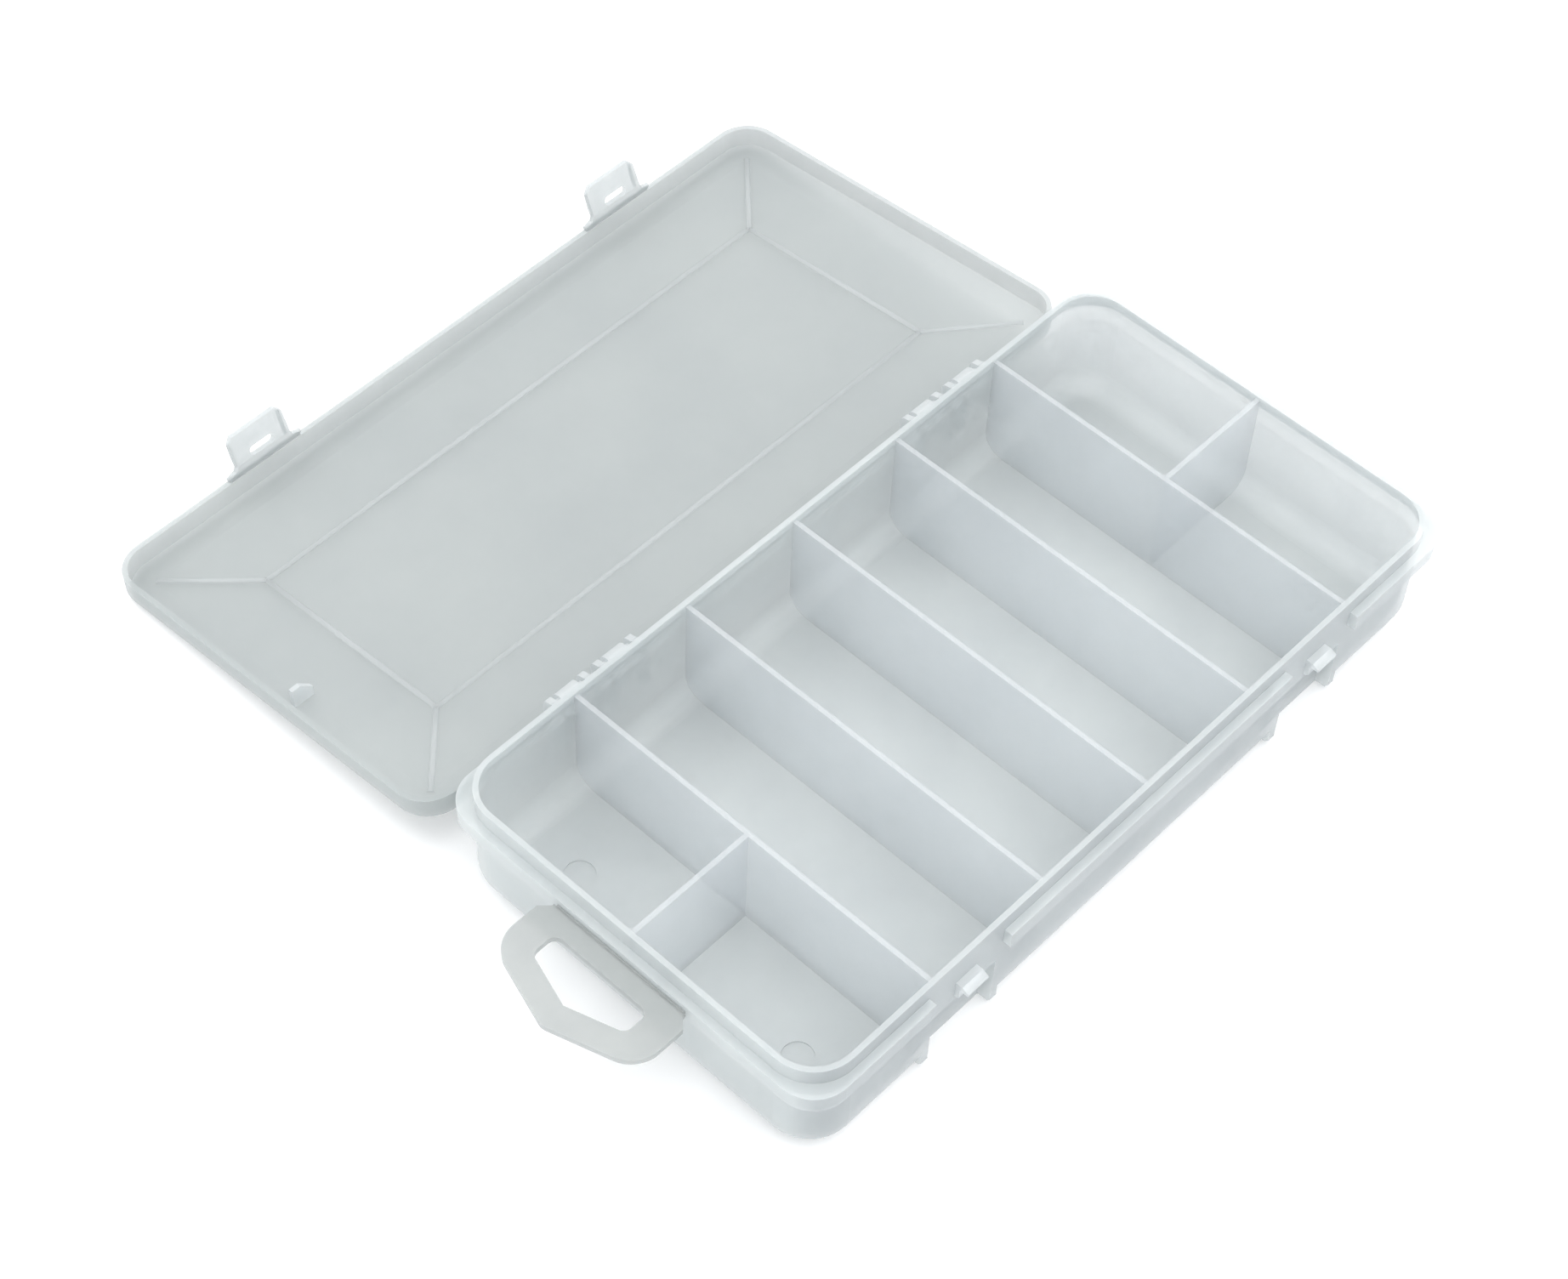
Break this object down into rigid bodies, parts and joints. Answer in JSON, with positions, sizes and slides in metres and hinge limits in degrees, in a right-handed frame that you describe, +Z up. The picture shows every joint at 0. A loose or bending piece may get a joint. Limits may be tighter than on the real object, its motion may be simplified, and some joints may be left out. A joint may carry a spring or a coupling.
{
  "type": "fishing tackle box",
  "caption": "Frosted plastic compartment box with a hinged lid, moulded-in dividers, two snap latch flaps and a folding hang tab, lying open.",
  "frame": {"origin": "on the surface the tray stands on, under the middle of the tray", "axes": "+X along the box away from the hang tab, +Y from the latch side to the hinge and open lid, +Z up"},
  "size_m": [0.2322, 0.2249, 0.0318],
  "materials": {
    "tray_plastic": "frosted translucent polypropylene, fine matt grain",
    "divider_plastic": "frosted translucent polypropylene, thin sheet",
    "fitting_plastic": "frosted translucent polypropylene, small thick sections",
    "lid_plastic": "frosted translucent polypropylene, fine matt grain",
    "flap_plastic": "frosted translucent polypropylene, polished by fingers",
    "hang_tab_plastic": "frosted translucent polypropylene, smooth"
  },
  "bodies": {
    "tray": {"tray_shell": "tray_plastic", "divider_1": "divider_plastic", "divider_2": "divider_plastic", "divider_3": "divider_plastic", "divider_4": "divider_plastic", "divider_5": "divider_plastic", "cross_divider_left": "divider_plastic", "cross_divider_right": "divider_plastic", "latch_catch_left": "fitting_plastic", "latch_catch_right": "fitting_plastic", "hinge_bracket_1": "fitting_plastic", "hinge_bracket_2": "fitting_plastic", "hinge_bracket_3": "fitting_plastic", "hinge_bracket_4": "fitting_plastic"},
    "lid": {"lid_shell": "lid_plastic", "locating_fin": "lid_plastic", "hinge_claw_1": "lid_plastic", "hinge_claw_2": "lid_plastic", "hinge_claw_3": "lid_plastic", "hinge_claw_4": "lid_plastic"},
    "left_latch": {"latch_flap_left": "flap_plastic"},
    "right_latch": {"latch_flap_right": "flap_plastic"},
    "hanger": {"hang_tab": "hang_tab_plastic"}
  },
  "joints": [
    {"name": "lid_hinge", "type": "hinge", "parent": "tray", "child": "lid", "pos_m": [0, 0.0566, 0.0222], "axis": [1, 0, 0], "range_deg": [0, 185.4]},
    {"name": "left_latch_flex", "type": "hinge", "parent": "lid", "child": "left_latch", "pos_m": [-0.0579, 0.16568, 0.00733], "axis": [-1, 0, 0], "range_deg": [0, 60], "stiffness_Nm_per_rad": 0.02},
    {"name": "right_latch_flex", "type": "hinge", "parent": "lid", "child": "right_latch", "pos_m": [0.0579, 0.16568, 0.00733], "axis": [-1, 0, 0], "range_deg": [0, 60], "stiffness_Nm_per_rad": 0.02},
    {"name": "hang_tab_fold", "type": "hinge", "parent": "tray", "child": "hanger", "pos_m": [-0.1061, 0, 0.025], "axis": [0, 1, 0], "range_deg": [-90, 60], "stiffness_Nm_per_rad": 0.05}
  ]
}
